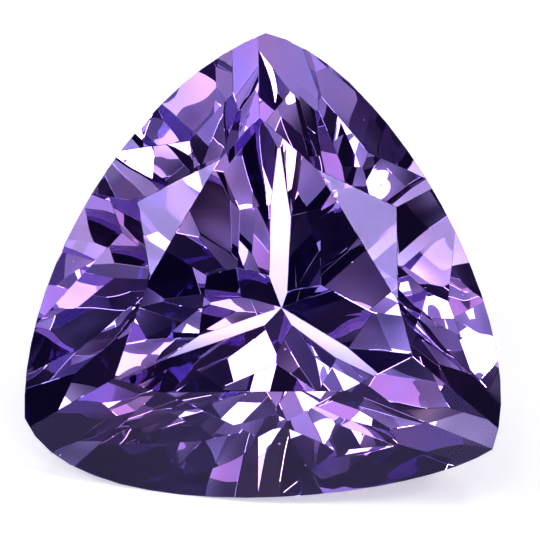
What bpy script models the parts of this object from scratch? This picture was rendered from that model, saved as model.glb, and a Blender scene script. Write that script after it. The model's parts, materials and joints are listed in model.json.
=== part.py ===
"""A trillion-cut tanzanite, one faceted crystal lying on a pavilion facet.

The stone is first laid out face up, as a cutter's plan: x to the right and y towards its top corner as
the table is looked at, z out of the table, with the origin in the middle of the girdle. Plan places and
heights are in millimetres. A rough prism with the girdle's outline is ground flat on one facet after
another. The finished stone is then turned to lie on the facet that it comes to rest on.

Blender 4.5, metres, +Z up, origin on the resting surface under the middle of the stone.
"""

import math

import bmesh
import bpy
import numpy as np
from mathutils import Matrix, Vector

MM = 0.001

# Heights from the girdle's middle plane, in millimetres.
TABLE_HEIGHT = 0.92
GIRDLE_HALF = 0.13
CULET_DEPTH = 3.74
ROUGH_MARGIN = 0.5

# The girdle, seen face up: three corners and a bowed side between each two, as a cubic curve.
CORNERS = {"top": (0.07, 4.0), "left": (-3.55, -1.79), "right": (3.49, -2.26)}
SIDES = {
    "upper_left": ("top", (-1.9, 3.26), (-3.66, 0.33), "left"),
    "bottom": ("left", (-2.83, -3.56), (2.28, -3.07), "right"),
    "upper_right": ("right", (4.19, -0.46), (1.89, 3.65), "top"),
}
GIRDLE_STEPS = 18

# The table's nine corners: a tip towards each corner of the stone and a long edge along each side.
TABLE_TIP = {"top": (-0.02, 2.73), "left": (-2.2, -1.19), "right": (2.28, -0.86)}
TABLE_EDGE = {
    "upper_left": ((-0.62, 2.09), (-1.68, 0.3)),
    "bottom": ((-1.49, -1.4), (1.26, -1.38)),
    "upper_right": ((2.06, -0.05), (0.86, 1.94)),
}

# A star facet rises from its point, over the middle of each side, to the long edge of the table.
STAR_POINT = {"upper_left": (-1.86, 1.46), "bottom": (-0.05, -2.1), "upper_right": (2.04, 1.38)}
STAR_HEIGHT = {"upper_left": 0.55, "bottom": 0.56, "upper_right": 0.56}

# Where the edge between a corner facet and a side facet of the crown comes down to the girdle.
SHOULDER = {
    ("top", "upper_left"): (-0.56, 3.68),
    ("left", "upper_left"): (-3.38, -0.84),
    ("left", "bottom"): (-2.72, -2.45),
    ("right", "bottom"): (3.49, -2.26),
    ("right", "upper_right"): (3.41, -0.77),
    ("top", "upper_right"): (0.36, 3.86),
}

# The pavilion: a narrow keel runs from the culet towards each corner. Its two long edges each turn
# twice, at the near and the far place given here, before they meet in the keel's tip.
CULET = (0.31, -0.14)
KEEL_RISE = {"top": 0.66, "left": 0.66, "right": 0.66}
KEEL_TIP = {"top": (0.28, 2.48), "left": (-2.2, -1.19), "right": (1.97, -1.3)}
KEEL_EDGE = {
    ("top", "upper_left"): ((0.12, 0.35), (0.15, 1.43)),
    ("top", "upper_right"): ((0.4, 0.11), (0.46, 1.26)),
    ("left", "upper_left"): ((-0.06, -0.26), (-1.64, -0.79)),
    ("left", "bottom"): ((-0.06, -0.51), (-1.28, -0.87)),
    ("right", "bottom"): ((0.48, -0.41), (1.15, -0.9)),
    ("right", "upper_right"): ((0.54, -0.27), (1.33, -0.74)),
}

# On each side of the stone the inner facet, by the culet, ends in a point. A middle facet opens from
# there, between the inner and outer facets that run along the two keels.
INNER_POINT = {"upper_left": (-0.39, 0.47), "bottom": (0.18, -0.95), "upper_right": (0.93, 0.21)}
MIDDLE_EDGE = {
    ("top", "upper_left"): (-0.38, 1.34),
    ("left", "upper_left"): (-1.19, 0.27),
    ("left", "bottom"): (-0.59, -1.34),
    ("right", "bottom"): (0.86, -1.43),
    ("right", "upper_right"): (1.7, -0.2),
    ("top", "upper_right"): (0.92, 1.37),
}

# Near the girdle the pavilion is cut again, steeper. Each keel ends in a tip facet, which starts at this
# share of the way from the culet to the keel's tip. Two halves on each side start at the places given
# here and open to a stretch of the girdle, given as shares of the way along the side from its corner.
TIP_START = 0.93
HALF_START = {
    ("top", "upper_left"): (-0.6, 1.9),
    ("left", "upper_left"): (-1.75, 0.1),
    ("left", "bottom"): (-0.9, -1.6),
    ("right", "bottom"): (1.2, -1.6),
    ("right", "upper_right"): (2.2, -0.3),
    ("top", "upper_right"): (1.1, 1.8),
}
HALF_SPAN = (0.14, 0.44)
GIRDLE_FOOT = 0.26

# The facet that the stone lies on, and how closely corners that should be one are joined.
RESTING_FACET = ("middle", "bottom")
JOIN_MM = 0.004


def side_places(side, shares):
    """Plan places on a bowed side, at shares of the way along its cubic curve."""
    start, first, last, end = SIDES[side]
    a, b, c, d = (np.array(p) for p in (CORNERS[start], first, last, CORNERS[end]))
    t = np.array(shares)[:, None]
    s = 1.0 - t
    return s**3 * a + 3.0 * s**2 * t * b + 3.0 * s * t**2 * c + t**3 * d


def girdle_outline():
    """The whole girdle as a closed run of plan places, anticlockwise."""
    shares = np.linspace(0.0, 1.0, GIRDLE_STEPS, endpoint=False)
    return np.vstack([side_places(side, shares) for side in SIDES])


def at(place, height):
    """A plan place at a height, as a vector."""
    return Vector((place[0], place[1], height))


def facet_through(a, b, c):
    """The plane through three points, as a point on it and its normal out of the stone."""
    normal = (b - a).cross(c - a).normalized()
    middle = Vector((0.0, 0.0, -GIRDLE_HALF))
    if normal.dot(middle - a) > 0.0:
        normal.negate()
    return a, normal


def lift(place, facet):
    """The point of a facet's plane over a plan place."""
    point, normal = facet
    rise = normal.x * (place[0] - point.x) + normal.y * (place[1] - point.y)
    return at(place, point.z - rise / normal.z)


def crown_facets():
    """The table, two facets at each corner, and a star and two side facets on each side."""
    facets = {("table", "face"): (Vector((0.0, 0.0, TABLE_HEIGHT)), Vector((0.0, 0.0, 1.0)))}
    for side, (start, _, _, end) in SIDES.items():
        first, last = (at(place, TABLE_HEIGHT) for place in TABLE_EDGE[side])
        star = at(STAR_POINT[side], STAR_HEIGHT[side])
        facets[("star", side)] = facet_through(first, star, last)
        for corner, edge in ((start, first), (end, last)):
            tip = at(TABLE_TIP[corner], TABLE_HEIGHT)
            shoulder = at(SHOULDER[(corner, side)], GIRDLE_HALF)
            facets[("crown side", side, corner)] = facet_through(edge, star, shoulder)
            facets[("crown corner", side, corner)] = facet_through(tip, edge, shoulder)
    return facets


def keel_facet(corner):
    """The narrow facet that climbs from the culet towards a corner."""
    culet = at(CULET, -CULET_DEPTH)
    run = Vector((CORNERS[corner][0] - CULET[0], CORNERS[corner][1] - CULET[1], 0.0)).normalized()
    return culet, Vector((run.x * KEEL_RISE[corner], run.y * KEEL_RISE[corner], -1.0)).normalized()


def pavilion_facets():
    """Three keels and, on each side, an inner, a middle, two inner and two outer keel-side facets."""
    culet = at(CULET, -CULET_DEPTH)
    facets = {("keel", corner): keel_facet(corner) for corner in CORNERS}
    for side, (start, _, _, end) in SIDES.items():
        near = {}
        for corner in (start, end):
            near[corner] = lift(KEEL_EDGE[(corner, side)][0], facets[("keel", corner)])
        inner = facet_through(culet, near[start], near[end])
        facets[("inner", side)] = inner
        point = lift(INNER_POINT[side], inner)
        opening = []
        for corner in (start, end):
            far = lift(KEEL_EDGE[(corner, side)][1], facets[("keel", corner)])
            tip = lift(KEEL_TIP[corner], facets[("keel", corner)])
            along = facet_through(near[corner], far, point)
            turn = lift(MIDDLE_EDGE[(corner, side)], along)
            facets[("keel side", side, corner)] = along
            facets[("outer", side, corner)] = facet_through(far, tip, turn)
            opening.append(turn)
        facets[("middle", side)] = facet_through(point, opening[0], opening[1])
    return facets


def steeper_facets(pavilion):
    """The tip facet at the end of each keel and the two halves on each side, up to the girdle."""
    facets = {}
    for corner, keel in ((corner, pavilion[("keel", corner)]) for corner in CORNERS):
        culet, tip = Vector(CULET), Vector(KEEL_TIP[corner])
        start = lift(culet.lerp(tip, TIP_START), keel)
        run = Vector((CORNERS[corner][0] - start.x, CORNERS[corner][1] - start.y, 0.0))
        slope = run.normalized() * ((-GIRDLE_FOOT - start.z) / run.length)
        facets[("tip", corner)] = (start, Vector((slope.x, slope.y, -1.0)).normalized())
    for side, (start, _, _, end) in SIDES.items():
        near, far = HALF_SPAN
        for corner, span in ((start, (near, far)), (end, (1.0 - near, 1.0 - far))):
            place = HALF_START[(corner, side)]
            height = max(lift(place, facet).z for facet in pavilion.values())
            foot = [at(end_place, -GIRDLE_FOOT) for end_place in side_places(side, span)]
            facets[("half", side, corner)] = facet_through(at(place, height), foot[0], foot[1])
    return facets


def rough_prism(mesh):
    """A prism with the girdle's outline, taller than the stone at both ends."""
    outline = girdle_outline()
    low = -CULET_DEPTH - ROUGH_MARGIN
    high = TABLE_HEIGHT + ROUGH_MARGIN
    base = [mesh.verts.new(at(place, low)) for place in outline]
    floor = mesh.faces.new(reversed(base))
    lid = bmesh.ops.extrude_face_region(mesh, geom=[floor])["geom"]
    raised = [item for item in lid if isinstance(item, bmesh.types.BMVert)]
    bmesh.ops.translate(mesh, verts=raised, vec=(0.0, 0.0, high - low))
    bmesh.ops.recalc_face_normals(mesh, faces=mesh.faces)


def grind(mesh, facet):
    """Takes away what lies outside one facet's plane and closes the stone with the new face."""
    point, normal = facet
    everything = mesh.verts[:] + mesh.edges[:] + mesh.faces[:]
    cut = bmesh.ops.bisect_plane(
        mesh, geom=everything, dist=1e-5, plane_co=point, plane_no=normal, clear_outer=True
    )["geom_cut"]
    rim = [item for item in cut if isinstance(item, bmesh.types.BMEdge) and item.is_boundary]
    if rim:
        bmesh.ops.contextual_create(mesh, geom=rim)


def resting_turn(facets):
    """The turn that lays the resting facet on the ground with the table leaning towards -Y."""
    down = facets[RESTING_FACET][1]
    lay = down.rotation_difference(Vector((0.0, 0.0, -1.0))).to_matrix()
    table = lay @ Vector((0.0, 0.0, 1.0))
    yaw = -math.pi / 2.0 - math.atan2(table.y, table.x)
    return Matrix.Rotation(yaw, 3, "Z") @ lay


def tanzanite_material():
    """Clear violet-blue crystal."""
    material = bpy.data.materials.new("tanzanite")
    material.use_nodes = True
    shader = material.node_tree.nodes["Principled BSDF"]
    shader.inputs["Base Color"].default_value = (0.19, 0.1, 0.52, 1.0)
    shader.inputs["Roughness"].default_value = 0.03
    shader.inputs["Metallic"].default_value = 0.0
    shader.inputs["IOR"].default_value = 1.69
    shader.inputs["Transmission Weight"].default_value = 1.0
    return material


def cut_stone():
    """Grinds every facet and stands the stone on its resting facet, in metres."""
    pavilion = pavilion_facets()
    facets = {**crown_facets(), **pavilion, **steeper_facets(pavilion)}
    mesh = bmesh.new()
    rough_prism(mesh)
    for facet in facets.values():
        grind(mesh, facet)
    bmesh.ops.remove_doubles(mesh, verts=mesh.verts, dist=JOIN_MM)
    bmesh.ops.recalc_face_normals(mesh, faces=mesh.faces)
    bmesh.ops.rotate(mesh, verts=mesh.verts, cent=(0.0, 0.0, 0.0), matrix=resting_turn(facets))
    corners = np.array([vertex.co for vertex in mesh.verts])
    low, high = corners.min(axis=0), corners.max(axis=0)
    middle = Vector((-(low[0] + high[0]) / 2.0, -(low[1] + high[1]) / 2.0, -low[2]))
    bmesh.ops.translate(mesh, verts=mesh.verts, vec=middle)
    bmesh.ops.scale(mesh, verts=mesh.verts, vec=(MM, MM, MM))
    data = bpy.data.meshes.new("tanzanite")
    mesh.to_mesh(data)
    mesh.free()
    data.materials.append(tanzanite_material())
    stone = bpy.data.objects.new("tanzanite", data)
    bpy.context.scene.collection.objects.link(stone)
    return stone


def main():
    for item in list(bpy.data.objects):
        bpy.data.objects.remove(item, do_unlink=True)
    cut_stone()


main()
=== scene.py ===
"""The looks of one trillion-cut tanzanite: its polished facets, its colour, and the studio round it."""

import json
import logging
import math
from dataclasses import dataclass, field
from enum import Enum

import bpy
import numpy as np
from mathutils import Matrix, Vector


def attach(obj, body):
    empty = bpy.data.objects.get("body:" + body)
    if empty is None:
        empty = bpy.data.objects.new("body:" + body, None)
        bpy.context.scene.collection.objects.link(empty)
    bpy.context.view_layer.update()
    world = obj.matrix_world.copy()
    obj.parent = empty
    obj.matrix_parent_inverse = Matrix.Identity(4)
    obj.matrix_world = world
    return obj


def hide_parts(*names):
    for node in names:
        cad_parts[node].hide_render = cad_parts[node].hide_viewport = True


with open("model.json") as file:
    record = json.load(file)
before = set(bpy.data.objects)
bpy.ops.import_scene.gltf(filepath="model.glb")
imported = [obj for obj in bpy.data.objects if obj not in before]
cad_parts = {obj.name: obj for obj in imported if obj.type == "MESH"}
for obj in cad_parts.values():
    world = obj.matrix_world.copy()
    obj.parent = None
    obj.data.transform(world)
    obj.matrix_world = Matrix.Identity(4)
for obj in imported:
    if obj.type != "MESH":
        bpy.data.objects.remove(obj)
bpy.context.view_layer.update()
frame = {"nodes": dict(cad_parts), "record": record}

MM = 0.001
NODE = "tanzanite"
BODY = "root"
SLOT = "tanzanite_crystal"

Colour = tuple[float, float, float, float]
BLACK: Colour = (0.0, 0.0, 0.0, 1.0)
WHITE: Colour = (1.0, 1.0, 1.0, 1.0)

# A direction along which no facet faces, to start the two axes in a facet's plane.
SKEW = (0.577, 0.211, 0.789)

log = logging.getLogger("tanzanite")


class Zone(Enum):
    """The kinds of surface that a cutter leaves on the stone, as a vertex value."""

    FACET = 0.0
    GIRDLE = 1.0


class Value:
    """A shader socket that can be used in Python sums, each of which adds a Math node."""

    def __init__(self, nodes: "NodeBench", socket: bpy.types.NodeSocket) -> None:
        """Holds a socket and the bench that makes its nodes.

        Args:
            nodes: the bench of the material.
            socket: an output socket.
        """
        self.nodes = nodes
        self.socket = socket

    def _math(self, operation: str, first: "Value | float", second: "Value | float") -> "Value":
        """One Math node.

        Args:
            operation: Blender's name of the operation.
            first: the first operand.
            second: the second operand.

        Returns:
            The result.
        """
        return self.nodes.make("ShaderNodeMath", {"operation": operation}, {0: first, 1: second})

    def __add__(self, other: "Value | float") -> "Value":
        """Sum."""
        return self._math("ADD", self, other)

    __radd__ = __add__

    def __sub__(self, other: "Value | float") -> "Value":
        """Difference."""
        return self._math("SUBTRACT", self, other)

    def __rsub__(self, other: "Value | float") -> "Value":
        """Difference from a number."""
        return self._math("SUBTRACT", other, self)

    def __mul__(self, other: "Value | float") -> "Value":
        """Product."""
        return self._math("MULTIPLY", self, other)

    __rmul__ = __mul__

    def __pow__(self, other: "Value | float") -> "Value":
        """Power."""
        return self._math("POWER", self, other)

    def above(self, edge: float) -> "Value":
        """1 where the value is over the edge, else 0."""
        return self._math("GREATER_THAN", self, edge)

    def below(self, edge: float) -> "Value":
        """1 where the value is under the edge, else 0."""
        return self._math("LESS_THAN", self, edge)


@dataclass
class NodeBench:
    """Makes the nodes of one material."""

    tree: bpy.types.NodeTree

    def make(
        self,
        kind: str,
        settings: dict[str, object] | None = None,
        inputs: dict[int | str, object] | None = None,
        output: int | str = 0,
    ) -> Value:
        """Makes one node.

        Args:
            kind: the node's type name.
            settings: its properties, set first.
            inputs: values or links for its sockets.
            output: which output to give back.

        Returns:
            The chosen output.
        """
        node = self.tree.nodes.new(kind)
        for name, value in (settings or {}).items():
            setattr(node, name, value)
        for key, value in (inputs or {}).items():
            if isinstance(value, Value):
                self.tree.links.new(value.socket, node.inputs[key])
            else:
                node.inputs[key].default_value = value
        return Value(self, node.outputs[output])

    def mix(self, factor: Value, low: object, high: object, clamp: bool = True) -> Value:
        """A colour between two colours.

        Args:
            factor: 0 gives the first colour, 1 the second.
            low: the first colour, or a link to one.
            high: the second colour, or a link to one.
            clamp: keeps the factor between 0 and 1.

        Returns:
            The mixed colour.
        """
        return self.make(
            "ShaderNodeMix",
            {"data_type": "RGBA", "clamp_factor": clamp},
            {"Factor": factor, "A": low, "B": high},
            "Result",
        )

    def place(self) -> Value:
        """Object coordinates."""
        return self.make("ShaderNodeTexCoord", output="Object")

    def noise(self, place: Value, per_m: float, detail: float) -> Value:
        """A smooth random value that averages a half.

        Args:
            place: the coordinates.
            per_m: how many lumps there are to a metre.
            detail: how many finer octaves are added.

        Returns:
            The value.
        """
        return self.make(
            "ShaderNodeTexNoise", {}, {"Vector": place, "Scale": per_m, "Detail": detail}, "Fac"
        )

    def lobe(self, seen: Value, way: Vector, power: float) -> Value:
        """A soft patch round one direction.

        Args:
            seen: the direction that is looked in.
            way: the middle of the patch, a unit vector.
            power: the larger, the smaller the patch.

        Returns:
            The cosine of the angle between the two, from 0 up, to the power.
        """
        cosine = self.make(
            "ShaderNodeVectorMath", {"operation": "DOT_PRODUCT"}, {0: seen, 1: tuple(way)}, "Value"
        )
        return self.make("ShaderNodeClamp", {}, {"Value": cosine}, "Result") ** power


@dataclass(frozen=True)
class TanzaniteCrystal:
    """Polished tanzanite: clear, violet-blue in depth, with a tint that turns with the direction.

    The tint runs from blue to violet by t = a c + n (f - 1/2) + s, where c is how far the facet
    faces along the crystal's axis and f is a smooth random value. Burgundy comes in where another
    random value is high.
    """

    ior: float = 1.69
    absorbed: Colour = (0.46, 0.18, 0.8, 1.0)
    density: float = 165.0
    surface: Colour = (0.26, 0.2, 0.52, 1.0)
    blue: Colour = (0.48, 0.6, 1.0, 1.0)
    violet: Colour = (0.96, 0.84, 1.0, 1.0)
    burgundy: Colour = (1.0, 0.66, 0.72, 1.0)
    axis_share: float = 0.5
    cloud_per_m: float = 420.0
    cloud_share: float = 1.8
    violet_lead: float = 0.3
    red_per_m: float = 714.0
    red_start: float = 0.52
    red_rise: float = 4.0
    speck_per_m: float = 1500.0
    speck_radius: float = 0.03
    speck_roughness: float = 0.45
    girdle_roughness: float = 0.32
    girdle_start: float = 0.75
    wave_per_m: float = 330.0
    wave_height: float = 0.05 * MM

    def tint(self, bench: NodeBench, place: Value) -> Value:
        """The colour that a ray takes on as it passes the surface.

        Args:
            bench: the bench of the material.
            place: the coordinates.

        Returns:
            The colour.
        """
        axis = bench.make("ShaderNodeAttribute", {"attribute_name": "crystal_axis"}, output="Fac")
        cloud = bench.noise(place, self.cloud_per_m, detail=2.0)
        turn = axis * self.axis_share + (cloud - 0.5) * self.cloud_share + self.violet_lead
        cool = bench.mix(turn, self.blue, self.violet)
        red = bench.noise(place, self.red_per_m, detail=1.0)
        return bench.mix((red - self.red_start) * self.red_rise, cool, self.burgundy)

    def roughness(self, bench: NodeBench, place: Value) -> Value:
        """The roughness: 0 on the polish, more on the ground girdle and on specks of dust.

        The ground finish starts part of the way across the strips that edge the girdle.

        Args:
            bench: the bench of the material.
            place: the coordinates.

        Returns:
            The roughness.
        """
        zone = bench.make("ShaderNodeAttribute", {"attribute_name": "zone"}, output="Fac")
        girdle = zone.above(self.girdle_start)
        speck = bench.make(
            "ShaderNodeTexVoronoi", {}, {"Vector": place, "Scale": self.speck_per_m}, "Distance"
        )
        return girdle * self.girdle_roughness + speck.below(self.speck_radius) * self.speck_roughness

    def build(self) -> bpy.types.Material:
        """Makes the material.

        Returns:
            The material, with its volume.
        """
        material = bpy.data.materials.new(SLOT)
        material.use_nodes = True
        bench = NodeBench(material.node_tree)
        shader = material.node_tree.nodes["Principled BSDF"]
        output = material.node_tree.nodes["Material Output"]
        place = bench.place()
        wave = bench.noise(place, self.wave_per_m, detail=1.0)
        bump = bench.make(
            "ShaderNodeBump", {}, {"Height": wave, "Distance": self.wave_height}, "Normal"
        )
        bench.tree.links.new(self.tint(bench, place).socket, shader.inputs["Base Color"])
        bench.tree.links.new(self.roughness(bench, place).socket, shader.inputs["Roughness"])
        bench.tree.links.new(bump.socket, shader.inputs["Normal"])
        shader.inputs["Metallic"].default_value = 0.0
        shader.inputs["IOR"].default_value = self.ior
        shader.inputs["Transmission Weight"].default_value = 1.0
        shader.inputs["Specular Tint"].default_value = self.surface
        depth = bench.make(
            "ShaderNodeVolumeAbsorption", {}, {"Color": self.absorbed, "Density": self.density}
        )
        bench.tree.links.new(depth.socket, output.inputs["Volume"])
        return material


@dataclass(frozen=True)
class PalePaper:
    """White paper that glows a little, most in a painted pool of light in one spot behind the stone,
    and has painted shade far out.
    """

    white: Colour = (0.84, 0.84, 0.85, 1.0)
    # Painted shade: the colour that the paper darkens to far out from the stone.
    shade: Colour = (0.45, 0.45, 0.46, 1.0)
    white_radius: float = 12.0 * MM
    shade_radius: float = 30.0 * MM
    fibre_per_m: float = 900.0
    fibre_share: float = 0.1
    roughness: float = 0.9
    gloss: float = 0.1
    glow: float = 0.45
    # A painted pool of light: the paper glows brighter in one spot behind the stone.
    spot_place: tuple[float, float, float] = (0.1 * MM, 3.0 * MM, 0.0)
    spot_radius: float = 2.2 * MM
    spot_glow: float = 2.0

    def build(self) -> bpy.types.Material:
        """Makes the material. Both the painted shade and the painted spot of light fade smoothly with
        the distance.

        Returns:
            The material.
        """
        material = bpy.data.materials.new("pale_paper")
        material.use_nodes = True
        bench = NodeBench(material.node_tree)
        shader = material.node_tree.nodes["Principled BSDF"]
        place = bench.place()
        fibre = bench.noise(place, self.fibre_per_m, detail=2.0)
        away = bench.make("ShaderNodeVectorMath", {"operation": "LENGTH"}, {0: place}, "Value")
        fade = bench.make(
            "ShaderNodeMapRange",
            {"interpolation_type": "SMOOTHSTEP"},
            {"Value": away, "From Min": self.white_radius, "From Max": self.shade_radius},
        )
        near = bench.make(
            "ShaderNodeVectorMath", {"operation": "DISTANCE"}, {0: place, 1: self.spot_place}, "Value"
        )
        # Painted pool of light: the spot's glow, added to the paper's even glow.
        spot = bench.make(
            "ShaderNodeMapRange",
            {"interpolation_type": "SMOOTHSTEP"},
            {"Value": near, "From Min": self.spot_radius, "From Max": 0.0, "To Max": self.spot_glow},
        )
        # Painted shade far out, mixed with a little fibre grain of the paper.
        shade_and_fibre = fade * (1.0 - self.fibre_share) + fibre * self.fibre_share
        colour = bench.mix(shade_and_fibre, self.white, self.shade)
        glow = bench.mix(spot + self.glow, BLACK, WHITE, clamp=False)
        bench.tree.links.new(colour.socket, shader.inputs["Base Color"])
        bench.tree.links.new(glow.socket, shader.inputs["Emission Color"])
        shader.inputs["Emission Strength"].default_value = 1.0
        shader.inputs["Roughness"].default_value = self.roughness
        shader.inputs["Specular IOR Level"].default_value = self.gloss
        return material


@dataclass
class CutStone:
    """The stone as its facets' planes, with every edge ground to a narrow strip."""

    source: bpy.types.Object
    edge_width: float = 0.005 * MM
    join: float = 0.03 * MM
    join_passes: int = 8
    same_normal: float = 1e-6
    same_height: float = 2e-6
    on_plane: float = 1e-7
    least_spread: float = 1e-7
    sharpest: float = 0.25
    upright: float = 0.02
    crystal_axis: tuple[float, float, float] = (0.62, 0.35, 0.7)
    normals: np.ndarray = field(init=False)
    heights: np.ndarray = field(init=False)

    def read_planes(self) -> None:
        """Finds each facet's plane from the solid's triangles.

        A triangle belongs to the largest triangle that has its normal and its height along that
        normal. A plane is n . x = h, with n outwards.
        """
        mesh = self.source.data
        mesh.calc_loop_triangles()
        corners = np.empty(len(mesh.vertices) * 3)
        mesh.vertices.foreach_get("co", corners)
        corners = corners.reshape(-1, 3)
        index = np.empty(len(mesh.loop_triangles) * 3, dtype=np.int64)
        mesh.loop_triangles.foreach_get("vertices", index)
        a, b, c = (corners[index.reshape(-1, 3)[:, k]] for k in range(3))
        cross = np.cross(b - a, c - a)
        area = np.linalg.norm(cross, axis=1)
        order = np.argsort(-area)
        order = order[area[order] > 0.0]
        normal = cross[order] / area[order, None]
        middle = (a + b + c)[order] / 3.0
        height = np.einsum("ij,ij->i", normal, middle)
        alike = normal @ normal.T > 1.0 - self.same_normal
        level = np.abs(middle @ normal.T - height[None, :]) < self.same_height
        first = np.argmax(alike & level, axis=1)
        keep = np.unique(first)
        self.normals, self.heights = normal[keep], height[keep]

    def corner_points(self) -> np.ndarray:
        """Every point where three planes meet and that no other plane cuts off.

        Three planes meet in a point when the determinant of their normals isn't near 0.

        Returns:
            The corners, one a row.
        """
        count = len(self.heights)
        i, j, k = (axis.ravel() for axis in np.meshgrid(*[np.arange(count)] * 3, indexing="ij"))
        pick = (i < j) & (j < k)
        triples = np.stack([i[pick], j[pick], k[pick]], axis=1)
        system = self.normals[triples]
        good = np.abs(np.linalg.det(system)) > self.least_spread
        points = np.linalg.solve(system[good], self.heights[triples[good]][..., None])[..., 0]
        inside = (points @ self.normals.T - self.heights < self.on_plane).all(axis=1)
        return points[inside]

    def joined(self, points: np.ndarray) -> tuple[np.ndarray, np.ndarray]:
        """Joins corners that are closer than the edge work can part.

        Args:
            points: the raw corners.

        Returns:
            Each raw corner's label, and the labels' mean places.
        """
        gap = np.linalg.norm(points[:, None, :] - points[None, :, :], axis=2)
        near = gap < self.join
        label = np.arange(len(points))
        for _ in range(self.join_passes):
            label = np.where(near, label[None, :], len(points)).min(axis=1)
        names, label = np.unique(label, return_inverse=True)
        total = np.zeros((len(names), 3))
        np.add.at(total, label, points)
        return label, total / np.bincount(label)[:, None]

    def rings(self, points: np.ndarray, label: np.ndarray, places: np.ndarray) -> dict[int, np.ndarray]:
        """Each facet's corners in order, anticlockwise from outside.

        Args:
            points: the raw corners.
            label: their labels.
            places: the labels' places.

        Returns:
            Facet number to labels.
        """
        rings = {}
        for facet, (normal, height) in enumerate(zip(self.normals, self.heights)):
            own = np.unique(label[np.abs(points @ normal - height) < 2.0 * self.on_plane])
            if len(own) < 3:
                continue
            spread = places[own] - places[own].mean(axis=0)
            across = np.cross(normal, SKEW)
            across /= np.linalg.norm(across)
            along = np.cross(normal, across)
            rings[facet] = own[np.argsort(np.arctan2(spread @ along, spread @ across))]
        return rings

    def edge_ground(self, rings: dict[int, np.ndarray], places: np.ndarray) -> tuple[list, list, list]:
        """Sets each facet in from its edges and joins the gaps with strips and caps.

        A facet's corner moves in its own plane by w (q1 + q2) / (1 + q1 . q2), where q1 and q2
        point into the facet across the two edges that meet there, and w is the edge's width. In
        the sharpest corners the divisor is kept from nearing 0.

        Args:
            rings: the facets' corners.
            places: the corners' places.

        Returns:
            Points, faces, and each point's facet.
        """
        points, faces, facets = [], [], []
        number = {}
        across = {}
        for facet, ring in rings.items():
            normal = self.normals[facet]
            here = places[ring]
            step = np.roll(here, -1, axis=0) - here
            step /= np.linalg.norm(step, axis=1)[:, None]
            after = np.cross(normal, step)
            before = np.roll(after, 1, axis=0)
            share = np.maximum(1.0 + np.einsum("ij,ij->i", before, after), self.sharpest)
            moved = here + self.edge_width * (before + after) / share[:, None]
            moved -= ((moved @ normal) - self.heights[facet])[:, None] * normal
            start = len(points)
            points.extend(moved)
            facets.extend([facet] * len(ring))
            faces.append(list(range(start, start + len(ring))))
            for place, corner in enumerate(ring):
                number[(facet, corner)] = start + place
                across[(corner, ring[(place + 1) % len(ring)])] = facet
        for (corner, after), facet in across.items():
            other = across.get((after, corner))
            if other is not None and facet < other:
                faces.append(
                    [
                        number[(facet, after)],
                        number[(facet, corner)],
                        number[(other, corner)],
                        number[(other, after)],
                    ]
                )
        for corner in range(len(places)):
            own = [facet for facet, ring in rings.items() if corner in ring]
            if len(own) < 3:
                continue
            out = self.normals[own].mean(axis=0)
            side = np.cross(out, SKEW)
            up = np.cross(out, side)
            lean = self.normals[own] - out
            turn = np.arctan2(lean @ up / np.linalg.norm(up), lean @ side / np.linalg.norm(side))
            faces.append([number[(own[k], corner)] for k in np.argsort(turn)])
        return points, faces, facets

    def build(self) -> bpy.types.Object:
        """Makes the visible stone.

        Returns:
            The stone's object, at the origin.
        """
        self.read_planes()
        raw = self.corner_points()
        label, places = self.joined(raw)
        rings = self.rings(raw, label, places)
        points, faces, facets = self.edge_ground(rings, places)
        mesh = bpy.data.meshes.new("tanzanite_stone")
        mesh.from_pydata([tuple(p) for p in points], [], faces)
        mesh.validate()
        axis = np.array(self.crystal_axis) / np.linalg.norm(self.crystal_axis)
        table = self.normals[self.table()]
        girdle = np.abs(self.normals @ table) < self.upright
        zone = np.where(girdle, Zone.GIRDLE.value, Zone.FACET.value)[facets]
        turn = np.abs(self.normals @ axis)[facets]
        for name, values in (("zone", zone), ("crystal_axis", turn)):
            layer = mesh.attributes.new(name, "FLOAT", "POINT")
            layer.data.foreach_set("value", values.astype(np.float32))
        mesh.update()
        stone = bpy.data.objects.new("tanzanite_stone", mesh)
        bpy.context.scene.collection.objects.link(stone)
        log.info("stone: %d facets, %d faces", len(rings), len(mesh.polygons))
        return stone

    def table(self) -> int:
        """The number of the facet that the record's table mount lies on."""
        mount = mount_named("table_facet")
        return int(np.argmax(self.normals @ np.array(mount["axis"])))


def mount_named(name: str) -> dict:
    """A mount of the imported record.

    Args:
        name: the mount's name.

    Returns:
        The mount.
    """
    return next(mount for mount in frame["record"]["mounts"] if mount["name"] == name)


@dataclass(frozen=True)
class PictureView:
    """The picture's frame: its axes in space, and the point of the table's plane in its middle."""

    middle: Vector
    right: Vector
    up: Vector
    towards: Vector

    def direction(self, turn_deg: float, away_deg: float) -> Vector:
        """A direction from the stone.

        Args:
            turn_deg: anticlockwise in the picture from its right side.
            away_deg: the angle from the line to the camera.

        Returns:
            A unit vector.
        """
        turn, away = math.radians(turn_deg), math.radians(away_deg)
        flat = self.right * math.cos(turn) + self.up * math.sin(turn)
        return flat * math.sin(away) + self.towards * math.cos(away)


@dataclass(frozen=True)
class Softbox:
    """A square studio light, by its direction and width as the stone sees them."""

    name: str
    turn_deg: float
    away_deg: float
    width_deg: float
    radiance: float
    colour: tuple[float, float, float] = (1.0, 1.0, 1.0)
    distance: float = 0.5

    def build(self, view: PictureView) -> None:
        """Hangs the light and turns it to the stone.

        Args:
            view: the picture's frame.
        """
        way = view.direction(self.turn_deg, self.away_deg)
        side = 2.0 * self.distance * math.tan(math.radians(self.width_deg) / 2.0)
        light = bpy.data.lights.new(self.name, "AREA")
        light.shape = "SQUARE"
        light.size = side
        light.color = self.colour
        light.energy = self.radiance * math.pi * side * side
        lamp = bpy.data.objects.new(self.name, light)
        lamp.location = view.middle + way * self.distance
        lamp.rotation_euler = way.to_track_quat("Z", "Y").to_euler()
        bpy.context.scene.collection.objects.link(lamp)
        log.info("%s: %.0f mm wide", self.name, side / MM)


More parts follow.
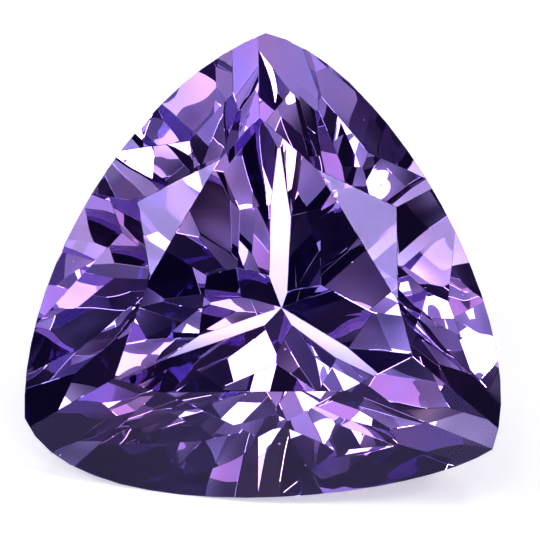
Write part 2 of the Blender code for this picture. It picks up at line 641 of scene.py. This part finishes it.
@dataclass
class Studio:
    """The paper, the lights and the camera."""

    picture_px: float = 540.0
    mm_per_px: float = 0.015
    table_middle_px: tuple[float, float] = (264.0, 283.0)
    top_tip_lean_deg: float = 1.5
    table_slack: float = 0.005 * MM
    camera_distance: float = 0.3
    nearest: float = 0.01
    sensor: float = 36.0
    paper_size: float = 1.2
    paper_gap: float = 0.01 * MM
    dusk: Colour = (0.006, 0.004, 0.015, 1.0)
    dawn: Colour = (0.1, 0.085, 0.12, 1.0)
    dawn_turn_deg: float = 95.0
    dawn_away_deg: float = 55.0
    dawn_power: float = 3.0
    halo: Colour = (0.96, 0.98, 0.92, 1.0)
    halo_radiance: float = 1.4
    halo_power: float = 200.0
    bounces: int = 40
    inner_bounces: int = 32
    softboxes: tuple[Softbox, ...] = (
        Softbox("star_right", 30.0, 53.0, 12.0, 18.0),
        Softbox("star_left", 150.0, 53.0, 12.0, 18.0),
        Softbox("front_left", 125.0, 20.0, 8.0, 7.0),
        Softbox("front_right", 30.0, 15.0, 8.0, 7.0),
        Softbox("left", 135.0, 40.0, 10.0, 2.5),
        Softbox("front_low", 320.0, 30.0, 9.0, 4.0),
        Softbox("top", 110.0, 60.0, 11.0, 4.0),
        Softbox("top_spot", 98.0, 30.0, 7.0, 9.0),
        Softbox("kite", 122.0, 30.0, 5.0, 7.0),
        Softbox("front", 74.0, 17.0, 5.0, 6.0),
        Softbox("mauve_above", 100.0, 16.0, 8.0, 1.2, (1.0, 0.66, 0.72)),
        Softbox("mauve_below", 300.0, 28.0, 8.0, 1.2, (1.0, 0.66, 0.72)),
        Softbox("back", 97.0, 107.0, 11.0, 8.0),
        Softbox("top_right", 75.0, 43.0, 8.0, 4.0),
        Softbox("low_right", 348.0, 75.0, 7.0, 4.0),
        Softbox("back_left", 145.0, 90.0, 7.0, 4.0),
        Softbox("back_low", 120.0, 125.0, 11.0, 8.0),
        Softbox("far_left", 170.0, 55.0, 8.0, 8.0),
        Softbox("overhead_right", 65.0, 65.0, 8.0, 6.0),
    )

    def view(self, stone: bpy.types.Object) -> PictureView:
        """Works out the picture's frame from the table facet.

        The picture looks straight down on the table. Its upward direction runs from the table's
        middle to its highest corner, less that corner's small lean.

        Args:
            stone: the visible stone.

        Returns:
            The frame.
        """
        mount = mount_named("table_facet")
        towards = Vector(mount["axis"]).normalized()
        middle = Vector(mount["pos_m"])
        corners = np.array([corner.co for corner in stone.data.vertices])
        flat = np.abs((corners - np.array(middle)) @ np.array(towards)) < self.table_slack
        tip = Vector(corners[flat][np.argmax(corners[flat][:, 2])])
        rise = tip - middle
        rise = (rise - towards * rise.dot(towards)).normalized()
        up = Matrix.Rotation(-math.radians(self.top_tip_lean_deg), 3, towards) @ rise
        right = up.cross(towards).normalized()
        half = self.picture_px / 2.0
        x = (half - self.table_middle_px[0]) * self.mm_per_px * MM
        y = (self.table_middle_px[1] - half) * self.mm_per_px * MM
        return PictureView(middle + right * x + up * y, right, up, towards)

    def hang_camera(self, view: PictureView) -> None:
        """Sets the camera where the photographer's was.

        Args:
            view: the picture's frame.
        """
        data = bpy.data.cameras.new("camera")
        data.sensor_width = self.sensor
        data.lens = self.sensor * self.camera_distance / (self.picture_px * self.mm_per_px * MM)
        data.clip_start = self.nearest
        camera = bpy.data.objects.new("camera", data)
        axes = Matrix((view.right, view.up, view.towards)).transposed().to_4x4()
        place = Matrix.Translation(view.middle + view.towards * self.camera_distance)
        camera.matrix_world = place @ axes
        bpy.context.scene.collection.objects.link(camera)
        bpy.context.scene.camera = camera

    def lay_paper(self) -> None:
        """Lays the paper just under the stone."""
        half = self.paper_size / 2.0
        square = ((-half, -half), (half, -half), (half, half), (-half, half))
        mesh = bpy.data.meshes.new("paper")
        mesh.from_pydata([(x, y, -self.paper_gap) for x, y in square], [], [(0, 1, 2, 3)])
        paper = bpy.data.objects.new("paper", mesh)
        mesh.materials.append(PalePaper().build())
        bpy.context.scene.collection.objects.link(paper)

    def light(self, view: PictureView) -> None:
        """Hangs the softboxes and sets the dim surroundings, paler to one side.

        The surroundings' colour runs from dusk to dawn with a power of the cosine of the angle
        from the palest direction. The halo round each bright softbox falls off in the same way.

        Args:
            view: the picture's frame.
        """
        world = bpy.data.worlds.new("studio")
        world.use_nodes = True
        bench = NodeBench(world.node_tree)
        seen = bench.make("ShaderNodeTexCoord", output="Generated")
        palest = view.direction(self.dawn_turn_deg, self.dawn_away_deg)
        colour = bench.mix(bench.lobe(seen, palest, self.dawn_power), self.dusk, self.dawn)
        glow: Value | float = 0.0
        for box in self.softboxes:
            if box.radiance > self.halo_radiance:
                way = view.direction(box.turn_deg, box.away_deg)
                glow = glow + bench.lobe(seen, way, self.halo_power) * self.halo_radiance
        halo = bench.mix(glow, BLACK, self.halo, clamp=False)
        colour = bench.make(
            "ShaderNodeVectorMath", {"operation": "ADD"}, {0: colour, 1: halo}, "Vector"
        )
        background = world.node_tree.nodes["Background"]
        world.node_tree.links.new(colour.socket, background.inputs["Color"])
        bpy.context.scene.world = world
        for box in self.softboxes:
            box.build(view)

    def build(self, stone: bpy.types.Object) -> None:
        """Builds the studio round the stone.

        Args:
            stone: the visible stone.
        """
        view = self.view(stone)
        self.hang_camera(view)
        self.lay_paper()
        self.light(view)
        scene = bpy.context.scene
        scene.view_settings.view_transform = "Standard"
        scene.cycles.max_bounces = self.bounces
        scene.cycles.glossy_bounces = self.inner_bounces
        scene.cycles.transmission_bounces = self.inner_bounces


def main() -> None:
    """Builds the stone and the studio."""
    logging.basicConfig(level=logging.INFO, format="%(name)s: %(message)s")
    stone = CutStone(frame["nodes"][NODE]).build()
    stone.data.materials.append(TanzaniteCrystal().build())
    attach(stone, BODY)
    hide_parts(NODE)
    Studio().build(stone)


if __name__ == "__main__":
    main()
